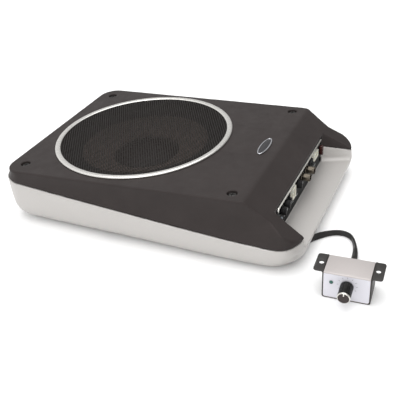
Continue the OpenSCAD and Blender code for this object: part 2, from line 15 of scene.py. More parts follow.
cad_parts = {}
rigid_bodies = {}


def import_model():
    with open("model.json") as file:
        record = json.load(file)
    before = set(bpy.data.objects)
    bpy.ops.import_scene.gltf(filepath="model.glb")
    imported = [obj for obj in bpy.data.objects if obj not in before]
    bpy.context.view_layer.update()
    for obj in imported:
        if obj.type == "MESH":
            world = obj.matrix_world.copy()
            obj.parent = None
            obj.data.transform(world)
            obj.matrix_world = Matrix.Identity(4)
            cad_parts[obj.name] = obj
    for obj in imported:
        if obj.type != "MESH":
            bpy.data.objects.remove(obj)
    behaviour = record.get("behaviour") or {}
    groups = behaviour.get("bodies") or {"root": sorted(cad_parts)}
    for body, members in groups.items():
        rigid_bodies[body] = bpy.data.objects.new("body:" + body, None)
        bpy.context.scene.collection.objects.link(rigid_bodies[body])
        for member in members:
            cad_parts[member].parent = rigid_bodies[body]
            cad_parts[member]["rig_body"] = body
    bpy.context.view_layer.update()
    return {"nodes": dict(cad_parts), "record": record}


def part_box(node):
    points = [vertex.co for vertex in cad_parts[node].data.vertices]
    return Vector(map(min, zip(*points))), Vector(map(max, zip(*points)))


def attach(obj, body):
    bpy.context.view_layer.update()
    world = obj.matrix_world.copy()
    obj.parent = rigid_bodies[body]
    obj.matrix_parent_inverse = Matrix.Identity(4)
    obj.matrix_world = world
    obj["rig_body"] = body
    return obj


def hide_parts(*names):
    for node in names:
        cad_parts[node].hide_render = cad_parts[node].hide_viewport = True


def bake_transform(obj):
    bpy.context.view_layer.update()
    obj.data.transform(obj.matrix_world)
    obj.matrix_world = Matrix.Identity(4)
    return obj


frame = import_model()

MM = 0.001


def box_mm(node):
    """Lowest and highest corner of a CAD node, in millimetres."""
    lo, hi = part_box(node)
    return lo / MM, hi / MM


# ---- driving dimensions: the CAD source has the same ones, apart from the finer shapes' own ----

X_END = 172.5
RIM_X = 171.8
TIP_X = 171.0
TIP_R = 23.0
REAR_TIP = 0.55
CORNER_R = 27.0
PLATE_R = 20.0
BELLY_X = 60.0
HALF_W = 117.0
PLATE_X = -163.8
PLATE_W0, PLATE_W1 = 114.0, 107.3
FOOT_H = 4.0
PILLAR_FOOT = 32.0
POST_TOP = 28.0
WALL = 2.6
SEAM_Z = 40.3
SEAM_SLOPE = math.tan(math.radians(4.19))
RING_X = -47.0
RING_Z = 69.0
TOP_RISE = math.radians(1.9)
CREASE_X = 115.5
SLOPE_Z = 55.0
PANEL_X = 140.0
RECESS_Y = 81.0
RECESS_FRONT = (87.0, 89.7)
RECESS_REAR = (82.0, 109.6)
RECESS_X = (140.0, 202.5)
LEDGE_Z = 21.0
CHEEK_Z = 39.6
CHEEK_SLOPE = 0.225
NOSE_RISE = 4.4
SCREW_X = (-145.3, 100.4)
SCREW_Y = 94.0
RING_R = 102.0
RING_W = 6.2
CONTROL_Z = 43.5
REMOTE_AT = Vector((219.5, -112.0, 0.0))
REMOTE_YAW = math.radians(3)
LEAD_W = 6.6
LEAD_T = 2.2
SHELL_CELL = 1.6
LIP = 1.4
GAP = 0.15
GRILLE_PITCH = 3.0
GRILLE_HOLE = 2.5
BADGE_HALF = (5.5, 18.4)
BADGE_AT = (146.0, 2.5)
KNOB_R = 4.5
KNOB_L = 6.0
FLEX_SECTORS = 24
REMOTE_W, REMOTE_D, REMOTE_H = 44.0, 27.0, 29.0
EAR_HOLES = 51.0
KNOB_AT = (0.8, 18.0)
LAMP_AT = (-13.6, 19.0)
LEVEL_L = 18.4

# an outline drawn flat, turned up to face -y, or raised along x
UPRIGHT = Matrix(((1, 0, 0, 0), (0, 0, -1, 0), (0, 1, 0, 0), (0, 0, 0, 1)))
SIDEWAYS = Matrix(((0, 0, 1, 0), (1, 0, 0, 0), (0, 1, 0, 0), (0, 0, 0, 1)))
# frame of the woofer: z = 0 on the top plate at the ring's centre
TOP = Matrix.Translation((RING_X, 0, RING_Z)) @ Matrix.Rotation(-TOP_RISE, 4, "Y")
# frame of the remote: front towards -y, z = 0 on the floor
REMOTE = Matrix.Translation(REMOTE_AT) @ Matrix.Rotation(REMOTE_YAW, 4, "Z")


def facing_x(y, z, x=PANEL_X):
    """Frame with its z axis along +X, for what stands on the control panel."""
    return Matrix.Translation((x, y, z)) @ Matrix.Rotation(math.radians(90), 4, "Y")


def ramp(value, low, high):
    """Rises from 0 at low to 1 at high."""
    return np.clip((value - low) / (high - low), 0, 1)


def top_at(x):
    """Height of the top plate at x."""
    return RING_Z + (x - RING_X) * math.tan(TOP_RISE)


def seam_at(x):
    """Height of the seam between tub and cover at x: it rises at the noses of the wings."""
    return SEAM_Z - x * SEAM_SLOPE + NOSE_RISE * ramp(x, 155, 171) ** 2


# ---- camera ----


def make_camera():
    azimuth, elevation, roll = (math.radians(a) for a in (26.95, 32.41, -4.95))
    data = bpy.data.cameras.new("camera")
    data.lens = 59.56
    data.sensor_width = 36
    data.clip_start = 0.05
    data.clip_end = 20
    camera = bpy.data.objects.new("camera", data)
    aim = Matrix.Rotation(azimuth, 4, "Z") @ Matrix.Rotation(math.pi / 2 - elevation, 4, "X")
    place = Matrix.Translation((0.31493, -0.58475, 0.40861))
    camera.matrix_world = place @ aim @ Matrix.Rotation(roll, 4, "Z")
    bpy.context.scene.collection.objects.link(camera)
    bpy.context.scene.camera = camera


make_camera()

# ---- materials ----


def srgb(*values):
    """A display colour from 0 to 255 as the linear one that a shader takes."""
    linear = [v / 255 / 12.92 if v < 10.3 else ((v / 255 + 0.055) / 1.055) ** 2.4 for v in values]
    return (*linear, 1.0)


class Shading:
    """The node tree of a material or a world."""

    def __init__(self, owner):
        owner.use_nodes = True
        self.nodes, self.links = owner.node_tree.nodes, owner.node_tree.links

    def put(self, value, socket):
        """Sets an input, or links it where the value is another node's output."""
        if isinstance(value, bpy.types.NodeSocket):
            self.links.new(value, socket)
        else:
            socket.default_value = value

    def fill(self, inputs, **values):
        for name, value in values.items():
            self.put(value, inputs[name.replace("_", " ")])

    def add(self, kind, output, **values):
        """Output of a new node with those inputs."""
        node = self.nodes.new("ShaderNode" + kind)
        self.fill(node.inputs, **values)
        return node.outputs[output]

    def ranged(self, value, low, high, from_low=0.3, from_high=0.7):
        limits = {"From_Min": from_low, "From_Max": from_high, "To_Min": low, "To_Max": high}
        return self.add("MapRange", "Result", Value=value, **limits)


class Look(Shading):
    """A Principled material and the few node patterns that the pieces share."""

    def __init__(self, name, colour, rough, **sockets):
        self.material = bpy.data.materials.new(name)
        super().__init__(self.material)
        self.sockets = self.nodes["Principled BSDF"].inputs
        self.fill(self.sockets, Base_Color=colour, Roughness=rough, **sockets)
        self.colour = colour
        self.place = self.add("TexCoord", "Object")
        self.normal = None

    def noise(self, scale, detail=3.0, stretch=None):
        """Noise of so many features a metre."""
        place = self.add("Mapping", "Vector", Scale=stretch, Vector=self.place) if stretch else self.place
        return self.add("TexNoise", "Fac", Scale=scale, Detail=detail, Vector=place)

    def cells(self, scale):
        return self.add("TexVoronoi", "Distance", Scale=scale, Vector=self.place)

    def mixed(self, factor, first, second):
        """Colour between first and second by factor; either may be an output."""
        node = self.nodes.new("ShaderNodeMix")
        node.data_type = "RGBA"
        self.put(factor, node.inputs["Factor"])
        for socket, value in (("A", first), ("B", second)):
            self.put(value, next(i for i in node.inputs if i.name == socket and i.type == "RGBA"))
        return next(o for o in node.outputs if o.type == "RGBA")

    def tint(self, output):
        self.links.new(output, self.sockets["Base Color"])
        return self

    def mottled(self, spread, scale, detail=3.0, stretch=None):
        """Colour that wanders by spread either way."""
        darker = [c * (1 - spread) for c in self.colour[:3]] + [1]
        lighter = [min(1, c * (1 + spread)) for c in self.colour[:3]] + [1]
        factor = self.ranged(self.noise(scale, detail, stretch), 0, 1)
        return self.tint(self.mixed(factor, darker, lighter))

    def polished(self, low, high, scale, stretch=None):
        """Roughness that wanders from low to high."""
        self.links.new(self.ranged(self.noise(scale, 4.0, stretch), low, high), self.sockets["Roughness"])
        return self

    def bumped(self, height, strength, depth):
        """A bump of so many millimetres, on top of the earlier ones."""
        earlier = {"Normal": self.normal} if self.normal else {}
        depth *= MM
        self.normal = self.add("Bump", "Normal", Strength=strength, Distance=depth, Height=height, **earlier)
        self.links.new(self.normal, self.sockets["Normal"])
        return self

    def grained(self, scale, strength, depth, stretch=None):
        return self.bumped(self.noise(scale, 2.0, stretch), strength, depth)


def moulded(name, colour, rough, grain=0.12, spread=0.08):
    """Injection-moulded plastic with a fine spark-eroded grain."""
    look = Look(name, colour, rough, Specular_IOR_Level=0.12).mottled(spread, 35)
    look.polished(rough - 0.07, rough + 0.07, 90).grained(2600, 0.35, grain)
    return look.bumped(look.cells(1500), 0.2, grain * 0.6)


def painted(name, colour, rough, metal=0.0, spread=0.03):
    """Sprayed paint: a soft orange peel and tiny flakes."""
    look = Look(name, colour, rough, Metallic=metal).mottled(spread, 1800, 2.0)
    return look.polished(rough - 0.05, rough + 0.05, 40).grained(420, 0.12, 0.05).grained(3200, 0.1, 0.03)


def metal(name, colour, rough, stretch=(1, 1, 1)):
    """Bare or plated metal with drawn or turned marks."""
    look = Look(name, colour, rough, Metallic=1.0).mottled(0.07, 500, 3.0, stretch)
    return look.polished(rough * 0.7, rough * 1.35, 900, stretch).grained(2400, 0.1, 0.03, stretch)


def gloss(name, colour, rough, sockets=()):
    """Smooth plastic with faint fingermarks in its gloss."""
    look = Look(name, colour, rough, **dict(sockets)).mottled(0.06, 60)
    return look.polished(rough * 0.7, rough * 1.5, 130).grained(240, 0.04, 0.05)


def rubber(name, colour, rough):
    look = Look(name, colour, rough).mottled(0.2, 180).polished(rough - 0.1, rough + 0.08, 260)
    return look.grained(1500, 0.3, 0.1)


def winding(name, colour, rough):
    """Close-wound enamelled wire: bands half a millimetre apart along the object's z axis, their grooves
    bumped and darkened as painted shade.
    """
    look = Look(name, colour, rough, Metallic=0.8)
    wave = look.add("TexWave", "Fac", Scale=math.pi / 20 / (0.5 * MM), Vector=look.place)
    wave.node.bands_direction = "Z"
    # the darker colour in the low part of each band is painted shade in the grooves between turns
    darker = [c * 0.45 for c in colour[:3]] + [1]
    look.tint(look.mixed(look.ranged(wave, 0, 1, 0.4, 0.6), darker, colour))
    return look.bumped(wave, 0.4, 0.2).polished(0.25, 0.5, 300)


def woven(name, colour, rough):
    """Treated cloth with an open weave."""
    look = Look(name, colour, rough).mottled(0.18, 400)
    return look.bumped(look.cells(900), 0.6, 0.25).grained(3000, 0.3, 0.1)


def circuit_board(name, colour, rough):
    look = Look(name, colour, rough)
    traces = look.ranged(look.noise(160, 0.0, (1, 0.2, 1)), 0, 1, 0.49, 0.51)
    look.tint(look.mixed(traces, srgb(16, 66, 36), srgb(34, 110, 62)))
    return look.bumped(traces, 0.4, 0.04).polished(0.3, 0.45, 200)


def pressed_fibre(name, colour, rough):
    """Cone paper: matted short fibres under a thin coat."""
    look = Look(name, colour, rough).mottled(0.16, 900, 5.0)
    return look.polished(rough - 0.12, rough + 0.12, 300).grained(1400, 0.5, 0.25).grained(300, 0.25, 0.4)


# how each look is made, its colour and roughness, and what else its maker takes
LOOK_TABLE = {
    "tub_paint": (painted, (182, 179, 176), 0.42, 0.25),
    "cover_plastic": (moulded, (51, 46, 45), 0.45),
    "ring_satin": (metal, (222, 220, 216), 0.3),
    "grille_black": (painted, (27, 22, 19), 0.5, 0.0, 0.12),
    "badge_metal": (metal, (190, 190, 194), 0.16),
    "black_steel": (metal, (52, 51, 52), 0.42),
    "trim_silver": (metal, (214, 212, 206), 0.32),
    "foot_rubber": (rubber, (34, 33, 33), 0.75),
    "brass": (metal, (214, 176, 98), 0.32),
    "panel_black": (moulded, (40, 41, 42), 0.5, 0.08),
    "knob_black": (moulded, (24, 24, 25), 0.38, 0.05),
    "zinc_steel": (metal, (190, 192, 192), 0.38),
    "nylon_white": (gloss, (214, 211, 198), 0.42, {"Subsurface_Weight": 0.05}),
    # gold_plate: nickel-grey plating, darkened far below bare metal as painted shade for the shaded panel;
    # the plug's contacts share this darkened colour
    "gold_plate": (metal, (92, 86, 77), 0.26),
    "insert_plastic": (gloss, (226, 224, 220), 0.35),
    # fuse_red: a red fuse, darkened almost to brown as painted shade for the shade it sits in
    "fuse_red": (gloss, (56, 22, 19), 0.25, {"Transmission_Weight": 0.2}),
    "led_clear": (gloss, (206, 216, 226), 0.12, {"Transmission_Weight": 0.5}),
    "board_green": (circuit_board, (22, 84, 46), 0.35),
    "winding_copper": (winding, (198, 118, 66), 0.35),
    "capacitor_sleeve": (gloss, (30, 36, 62), 0.3),
    "aluminium_plate": (metal, (206, 208, 210), 0.36, (1, 12, 1)),
    "lead_red": (gloss, (150, 28, 26), 0.38),
    "basket_steel": (painted, (40, 40, 41), 0.4),
    "surround_rubber": (rubber, (38, 36, 36), 0.55),
    "cone_pulp": (pressed_fibre, (138, 122, 113), 0.62),
    "spider_cloth": (woven, (176, 142, 84), 0.85),
    "magnet_ferrite": (moulded, (52, 52, 54), 0.6, 0.2, 0.15),
    "bracket_black": (painted, (34, 31, 29), 0.5, 0.0, 0.1),
    "remote_silver": (painted, (180, 174, 172), 0.45, 0.35, 0.02),
    "remote_knob_gloss": (gloss, (8, 7, 7), 0.16, {"Specular_IOR_Level": 0.25}),
    "led_green": (gloss, (12, 74, 62), 0.12, {"Coat_Weight": 0.3}),
    "cord_vinyl": (gloss, (30, 28, 27), 0.45, {"Specular_IOR_Level": 0.3}),
    "tie_plastic": (gloss, (36, 36, 38), 0.4),
    "plug_clear": (gloss, (206, 210, 214), 0.14, {"Transmission_Weight": 0.6}),
    # looks of a few pieces that differ from the rest of their slot
    "insert_red": (gloss, (168, 40, 36), 0.35),
    "knob_face": (moulded, (60, 54, 53), 0.55, 0.1),
    "badge_field": (gloss, (26, 25, 29), 0.3),
    "print_light": (gloss, (168, 170, 170), 0.6),
    "label": (painted, (206, 205, 212), 0.42, 0.0, 0.01),
    "print_dark": (gloss, (84, 82, 84), 0.6),
    "dust_cap_paper": (pressed_fibre, (58, 46, 42), 0.3),
    "screw_head": (painted, (40, 38, 37), 0.45, 0.2),
}
LOOKS = {name: make(name, srgb(*colour), *rest) for name, (make, colour, *rest) in LOOK_TABLE.items()}

SLOTS = {part["node"]: part["material_slot"] for part in frame["record"]["subparts"]}
for cad_node, cad_slot in SLOTS.items():
    materials = frame["nodes"][cad_node].data.materials
    materials.clear()
    materials.append(LOOKS[cad_slot].material)
frame["nodes"]["dust_cap"].data.materials[0] = LOOKS["dust_cap_paper"].material

# ---- making pieces ----


def drawn(name, points, faces, at=None):
    """An object whose mesh is drawn in millimetres, in the frame called at."""
    mesh = bpy.data.meshes.new(name)
    mesh.from_pydata([tuple(p) for p in points], [], [tuple(f) for f in faces])
    scale = Matrix.Scale(MM, 4)
    mesh.transform(scale @ at if at else scale)
    mesh.update()
    made = bpy.data.objects.new(name, mesh)
    bpy.context.scene.collection.objects.link(made)
    return made


def piece(name, points, faces, slot, body="enclosure", stands_for="", at=None, look=None, sharp=180):
    """A closed mesh on its body, smooth apart from edges of more than so many degrees."""
    made = drawn(name, points, faces, at)
    if sharp:
        sharp_shaded(made, sharp)
    return settle(made, slot, body, stands_for, look)


def settle(made, slot, body, stands_for, look=None):
    """Gives a finished object its look, that of its slot unless another is named, and its body, and hides the
    nodes it stands for.
    """
    made.data.materials.append(LOOKS[look or slot].material)
    if body:
        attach(made, body)
    if stands_for:
        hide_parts(*stands_for.split())
    return made


def sharp_shaded(made, degrees):
    """Smooth shading that breaks at edges sharper than this."""
    made.data.shade_smooth()
    made.data.set_sharp_from_angle(angle=math.radians(degrees))
    return made


def applied(made):
    """The object with its modifiers worked into its mesh."""
    bpy.context.view_layer.update()
    graph = bpy.context.evaluated_depsgraph_get()
    finished = bpy.data.meshes.new_from_object(made.evaluated_get(graph))
    made.modifiers.clear()
    made.data = finished
    return made


def bevelled(made, width, angle=30):
    """Breaks the edges that turn by more than an angle."""
    modifier = made.modifiers.new("bevel", "BEVEL")
    modifier.width = width * MM
    modifier.segments = 2
    modifier.limit_method = "ANGLE"
    modifier.angle_limit = math.radians(angle)
    return sharp_shaded(applied(made), 50)


def cut(made, form, at, operation="DIFFERENCE"):
    """Cuts a closed form from a piece, or keeps only what is in it."""
    tool = drawn("tool", *form, at)
    modifier = made.modifiers.new("cut", "BOOLEAN")
    modifier.object = tool
    modifier.operation = operation
    modifier.solver = "EXACT"
    applied(made)
    bpy.data.objects.remove(tool)


def softened(node, width):
    """Stands for a CAD node with the same shape and its edges broken."""
    source = frame["nodes"][node]
    form = bmesh.new()
    form.from_mesh(source.data)
    bmesh.ops.remove_doubles(form, verts=form.verts, dist=1e-6)
    bmesh.ops.dissolve_limit(form, angle_limit=math.radians(1), verts=form.verts, edges=form.edges)
    made = drawn(node + "_shown", [], [])
    form.to_mesh(made.data)
    form.free()
    bevelled(made, width)
    return settle(made, SLOTS[node], source["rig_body"], node)


def fillet(corners, closed=True, steps=5):
    """Outline with rounded corners: each corner is (x, y, radius)."""
    points = []
    count = len(corners)
    for i, (x, y, radius) in enumerate(corners):
        here = Vector((x, y))
        if radius <= 0 or (not closed and i in (0, count - 1)):
            points.append((x, y))
            continue
        before = Vector(corners[i - 1][:2]) - here
        after = Vector(corners[(i + 1) % count][:2]) - here
        half = before.angle(after) / 2
        reach = min(radius / math.tan(half), before.length * 0.49, after.length * 0.49)
        before.normalize()
        after.normalize()
        centre = here + (before + after).normalized() * (reach / math.cos(half))
        start = here + before * reach - centre
        turn = start.angle_signed(here + after * reach - centre)
        for k in range(steps + 1):
            arm = start.copy()
            arm.rotate(Matrix.Rotation(-turn * k / steps, 2))
            points.append(tuple(centre + arm))
    return points


def lathe(profile, segments=96, closed=False):
    """Points and faces of a profile of (radius, height) turned about z."""
    points, rings, faces = [], [], []
    for radius, height in profile:
        if radius < 1e-6:
            rings.append([len(points)] * segments)
            points.append((0, 0, height))
            continue
        rings.append(range(len(points), len(points) + segments))
        points += [(x, y, height) for x, y in circle(radius, segments)]
    for lower, upper in zip(rings, rings[1:] + rings[:1] * closed):
        for k in range(segments):
            n = (k + 1) % segments
            face = [lower[k], lower[n], upper[n], upper[k]]
            face = [v for i, v in enumerate(face) if v != face[i - 1]]
            if len(face) > 2:
                faces.append(face)
    return points, faces


def at_height(outline, z, scale=1.0):
    return [(x * scale, y * scale, z) for x, y in outline]


def loft(rings, closed=False):
    """Skin through rings of as many points each: capped at its ends, or closed on itself."""
    count, levels = len(rings[0]), len(rings)
    faces = []
    for level in range(levels if closed else levels - 1):
        low, high = level * count, (level + 1) % levels * count
        for k in range(count):
            n = (k + 1) % count
            faces.append([low + k, low + n, high + n, high + k])
    if not closed:
        end = (levels - 1) * count
        faces = [list(range(count - 1, -1, -1))] + faces + [list(range(end, end + count))]
    return [p for ring in rings for p in ring], faces


def prism(outline, z0, z1, edge=0.0):
    """Points and faces of an outline raised from z0 to z1, its rims chamfered by edge."""
    ends = [Vector(p) for p in outline]
    levels = [(z0, ends), (z1, ends)]
    if edge:
        inset = []
        for i, here in enumerate(ends):
            along = (ends[(i + 1) % len(ends)] - ends[i - 1]).normalized()
            inset.append(here + Vector((-along.y, along.x)) * edge)
        levels = [(z0, inset), (z0 + edge, ends), (z1 - edge, ends), (z1, inset)]
    return loft([at_height(ring, z) for z, ring in levels])


def around(count):
    """Angles of so many equal steps round a circle."""
    return [2 * math.pi * k / count for k in range(count)]


def mirrored(right):
    """The corners of a right-hand side, after their images on the left."""
    return [(-x, y, radius) for x, y, radius in reversed(right)] + right


def circle(radius, segments=48, cx=0.0, cy=0.0):
    return [(cx + radius * math.cos(a), cy + radius * math.sin(a)) for a in around(segments)]


def rectangle(x0, y0, x1, y1, radius=0.0, steps=4):
    return fillet([(x0, y0, radius), (x1, y0, radius), (x1, y1, radius), (x0, y1, radius)], steps=steps)


def joined(*forms):
    """Several closed forms as one list of points and one of faces."""
    points, faces = [], []
    for form_points, form_faces in forms:
        base = len(points)
        points += list(form_points)
        faces += [[v + base for v in f] for f in form_faces]
    return points, faces


def moved(form, matrix):
    """A form's points, carried by a matrix."""
    points, faces = form
    return [tuple(matrix @ Vector(p)) for p in points], faces


# ---- shells, drawn as distance fields ----


def soft_max(a, b, blend):
    """The larger of two fields, with its crease rounded over blend millimetres."""
    reach = np.maximum(blend - np.abs(a - b), 0) / blend
    return np.maximum(a, b) + reach * reach * blend / 4


def soft_min(a, b, blend):
    return -soft_max(-a, -b, blend)


def common(*fields):
    """What several solids share."""
    return reduce(np.maximum, fields)


def rounded_plan(x, y, x0, x1, half, r0, r1):
    """Distance from a rounded outline with its own corner radius at each end."""
    radius = np.where(x < 0, r0, np.where(y > 0, r1 * REAR_TIP, r1))
    across = np.where(x < 0, x0 - x, x - x1) + radius
    aside = np.abs(y) - half + radius
    outside = np.hypot(np.maximum(across, 0), np.maximum(aside, 0))
    return np.minimum(np.maximum(across, aside), 0) + outside - radius


def belly(x, half):
    """Half width that is full at BELLY_X and draws in a little towards both ends."""
    return half - 1.8 * (np.minimum(x - BELLY_X, 0) / 202) ** 2 - 2.6 * (np.maximum(x - BELLY_X, 0) / 85) ** 2


def seam_plane(x, z):
    """Height above the plane of the seam."""
    return (z - seam_at(x)) * math.cos(math.atan(SEAM_SLOPE))


def recess_sides(x, y):
    """Distance outside the two side walls of the open recess in front of the panel."""
    share = (x - RECESS_X[0]) / (RECESS_X[1] - RECESS_X[0])
    rear = y - RECESS_REAR[0] - (RECESS_REAR[1] - RECESS_REAR[0]) * share
    front = -y - RECESS_FRONT[0] - (RECESS_FRONT[1] - RECESS_FRONT[0]) * share
    return np.maximum(rear * 0.915, front)


def recess_field(x, y):
    """Plan of the open recess."""
    return soft_max(recess_sides(x, y), PANEL_X - x, 0.8)


def cheek_line(x):
    """Upper edge of the recess walls that the tub carries."""
    return CHEEK_Z - (x - PANEL_X) * CHEEK_SLOPE


def in_top(x, y, z):
    """The same points in the woofer's tilted frame."""
    dx, dz = x - RING_X, z - RING_Z
    along = dx * math.cos(TOP_RISE) + dz * math.sin(TOP_RISE)
    height = dz * math.cos(TOP_RISE) - dx * math.sin(TOP_RISE)
    return along, y, height


def pole(u, v, w, radius, low, high):
    """Cylinder about the third axis."""
    return common(np.hypot(u, v) - radius, low - w, w - high)


def at_screws(u, v):
    """Offsets from the nearest cover screw, in the tilted frame."""
    near = np.where(u < sum(SCREW_X) / 2 - RING_X, SCREW_X[0] - RING_X, SCREW_X[1] - RING_X)
    return u - near, np.abs(v) - SCREW_Y


def cover_form(x, y, z):
    """Solid outer form of the cover."""
    top, seam = top_at(x), seam_at(x)
    rise = ramp(z, seam, top)
    flare = 1 - (1 - rise) ** 2.6
    plate = PLATE_W0 + (PLATE_W1 - PLATE_W0) * (x - PLATE_X) / (CREASE_X - PLATE_X)
    seam_half = belly(x, HALF_W - 0.4)
    half = seam_half + (plate - seam_half) * flare
    left = -X_END + 0.4 + (PLATE_X + X_END) * flare
    pinch = ramp(x, 108, PANEL_X) * ramp(z, 44, SLOPE_Z)
    half = half - 3.4 * pinch + 2.6 * ramp(x, 143, 157) * ramp(rise, 0, 1 / 3)
    corner, tip = CORNER_R + (PLATE_R - CORNER_R) * flare, TIP_R + 4 - 9 * flare
    side = rounded_plan(x, y, left, TIP_X - 0.4, half, corner, tip)
    side = side + LIP * ramp(seam_plane(x, z), 1.8, 0) ** 2
    plane = (z - top) * math.cos(TOP_RISE)
    slope = ((x - CREASE_X) * 19.4 + (z - 74.4) * 24.5) / 31.25
    wing = ((x - PANEL_X) * 18 + (z - SLOPE_Z) * 26) / 31.62
    upper = soft_max(plane, soft_min(slope, wing, 4.0), 1.6)
    return soft_max(upper, side, 1.9)


def cover_field(x, y, z):
    form = cover_form(x, y, z)
    recess = recess_field(x, y)
    void = common(form + WALL, WALL + GAP - recess)
    shell = soft_max(soft_max(form, -recess, 1.2), -void, 0.8)
    u, v, w = in_top(x, y, z)
    su, sv = at_screws(u, v)
    pillar = common(pole(su, sv, w, 5, -60, -4), PILLAR_FOOT - z)
    for added in (pole(u, v, w, RING_R, -9, -2), pole(su, sv, w, 7.5, -6.5, -1), pillar):
        shell = soft_min(shell, added, 0.8)
    cheek = common(recess - WALL - 0.3, z - cheek_line(x) - 0.3, PANEL_X - 0.5 - x)
    window = common(np.abs(x - PANEL_X - 1) - 10, np.abs(y) - RECESS_Y, z - SLOPE_Z + 1)
    bore, hole, cup = pole(u, v, w, 91, -20, 20), pole(su, sv, w, 2, -70, 10), pole(su, sv, w, 5.2, -3.5, 10)
    for removed, blend in ((cheek, 0.5), (window, 0.8), (bore, 1.0), (hole, 0.5), (cup, 0.9)):
        shell = soft_max(shell, -removed, blend)
    return soft_max(shell, GAP - seam_plane(x, z), 0.8)


def tub_form(x, y, z):
    """Solid outer form of the tub."""
    low, slow, end = (ramp(z, FOOT_H + height, FOOT_H) for height in (24, 36, 18))
    left = -X_END + 0.2 + 11.8 * low ** 5
    right = RIM_X - 7.0 * end ** 4.5 - 3.3 * end - 0.117 * np.maximum(z - LEDGE_Z - 1, 0)
    half = belly(x, HALF_W - (8.5 - 3.0 * ramp(x, 0, 120)) * slow ** 5 - 3.0 * slow ** 1.5)
    side = rounded_plan(x, y, left, right, half, CORNER_R + 2 - 4 * low ** 3, TIP_R + 5)
    return soft_max(side, FOOT_H - z, 2.5)


def tub_field(x, y, z):
    form = tub_form(x, y, z)
    sides, edge = recess_sides(x, y), PANEL_X - 0.2 - x
    recess = recess_field(x, y)
    basin = common(soft_max(sides, LEDGE_Z - z, 6.0), edge)
    void = common(form + WALL, WALL - soft_max(recess, LEDGE_Z - z, 4.0))
    shell = soft_max(soft_max(form, seam_plane(x, z) + GAP, 1.0), -basin, 1.4)
    shell = soft_max(shell, -void, 0.8)
    wall = common(recess - WALL + 0.3, 0.1 - recess, edge, form + 0.5)
    cheek = common(soft_max(wall, z - cheek_line(x), 0.8), LEDGE_Z - 2.3 - z)
    u, v, w = in_top(x, y, z)
    su, sv = at_screws(u, v)
    post = common(pole(su, sv, w, 4.5, -80, 0), z - POST_TOP, FOOT_H + 1 - z)
    bx, by = np.where(x < -10, x + 120, x - 100), np.abs(y) - 88
    boss = pole(bx, by, z, 6.5, FOOT_H + 1, FOOT_H + 8.2)
    for added, blend in ((cheek, 0.6), (post, 1.5), (boss, 1.5)):
        shell = soft_min(shell, added, blend)
    window = common(np.abs(x - PANEL_X + 3.75) - 4.25, np.abs(y) - RECESS_Y, LEDGE_Z - z)
    hole = common(pole(su, sv, w, 1.6, -80, 0), POST_TOP - 15 - z)
    bore = pole(bx, by, z, 4.05, 0, FOOT_H + 8.9)
    for removed in (window, hole, bore):
        shell = soft_max(shell, -removed, 0.6)
    return shell


def slope_of(field, points, step=0.05):
    """Values and gradients of a field at points."""
    sides = [field(*(points + d).T) - field(*(points - d).T) for d in np.eye(3) * step]
    return field(*points.T), np.stack(sides, 1) / (2 * step)


def surface_net(field, low, high, cell):
    """Points, quads and normals of a field's zero surface, on a grid of so many millimetres."""
    axes = [np.arange(a, b + cell, cell) for a, b in zip(low, high)]
    shape = [len(a) for a in axes]
    levels = np.empty(shape, np.float32)
    plane_x, plane_y = np.meshgrid(axes[0], axes[1], indexing="ij")
    for k, height in enumerate(axes[2]):
        levels[:, :, k] = field(plane_x, plane_y, np.full_like(plane_x, height))
    inside = levels < 0
    step = np.eye(3, dtype=int)
    cells = tuple(s - 1 for s in shape)
    total = np.zeros(cells + (3,), np.float32)
    count = np.zeros(cells, np.float32)
    for axis in range(3):
        for corner in (c for c in np.ndindex(2, 2, 2) if not c[axis]):
            ends = (corner, corner + step[axis])
            a, b = (levels[tuple(slice(c, c + n) for c, n in zip(end, cells))] for end in ends)
            crossed = (a < 0) != (b < 0)
            total += crossed[..., None] * np.array(corner)
            total[..., axis] += np.where(crossed, a / np.where(crossed, a - b, 1), 0)
            count += crossed
    used = count > 0
    index = np.full(cells, -1, np.int64)
    index[used] = np.arange(int(used.sum()))
    points = (np.argwhere(used) + total[used] / count[used][:, None]) * cell + low
    quads = []
    for axis in range(3):
        b, c = (axis + 1) % 3, (axis + 2) % 3
        flips = np.argwhere(np.diff(inside, axis=axis))
        for a in (b, c):
            flips = flips[(flips[:, a] > 0) & (flips[:, a] < cells[a])]
        backs = (step[b] + step[c], step[c], 0, step[b])
        ring = np.stack([index[tuple((flips - back).T)] for back in backs], 1)
        quads.append(np.where(inside[tuple(flips.T)][:, None], ring, ring[:, ::-1]))
    for _ in range(4):
        value, gradient = slope_of(field, points)
        move = value[:, None] * gradient / np.maximum((gradient ** 2).sum(1), 0.05)[:, None]
        length = np.linalg.norm(move, axis=1)
        points = points - move * np.minimum(1, 0.5 * cell / np.maximum(length, 1e-9))[:, None]
    _, gradient = slope_of(field, points)
    normals = gradient / np.maximum(np.linalg.norm(gradient, axis=1), 1e-9)[:, None]
    return points, np.concatenate(quads), normals


def shell(name, field, node, slot):
    """A moulded shell on the enclosure, with true normals from its field."""
    margin = 2.5
    low, high = (np.array(corner) for corner in box_mm(node))
    points, quads, normals = surface_net(field, low - margin, high + margin, SHELL_CELL)
    made = drawn(name, points.tolist(), quads.tolist())
    made.data.shade_smooth()
    made.data.normals_split_custom_set_from_vertices(normals.tolist())
    return settle(made, slot, "enclosure", node)


shell("cover_shell", cover_field, "top_cover", "cover_plastic")
shell("tub_shell", tub_field, "lower_tub", "tub_paint")

# ---- top of the enclosure ----


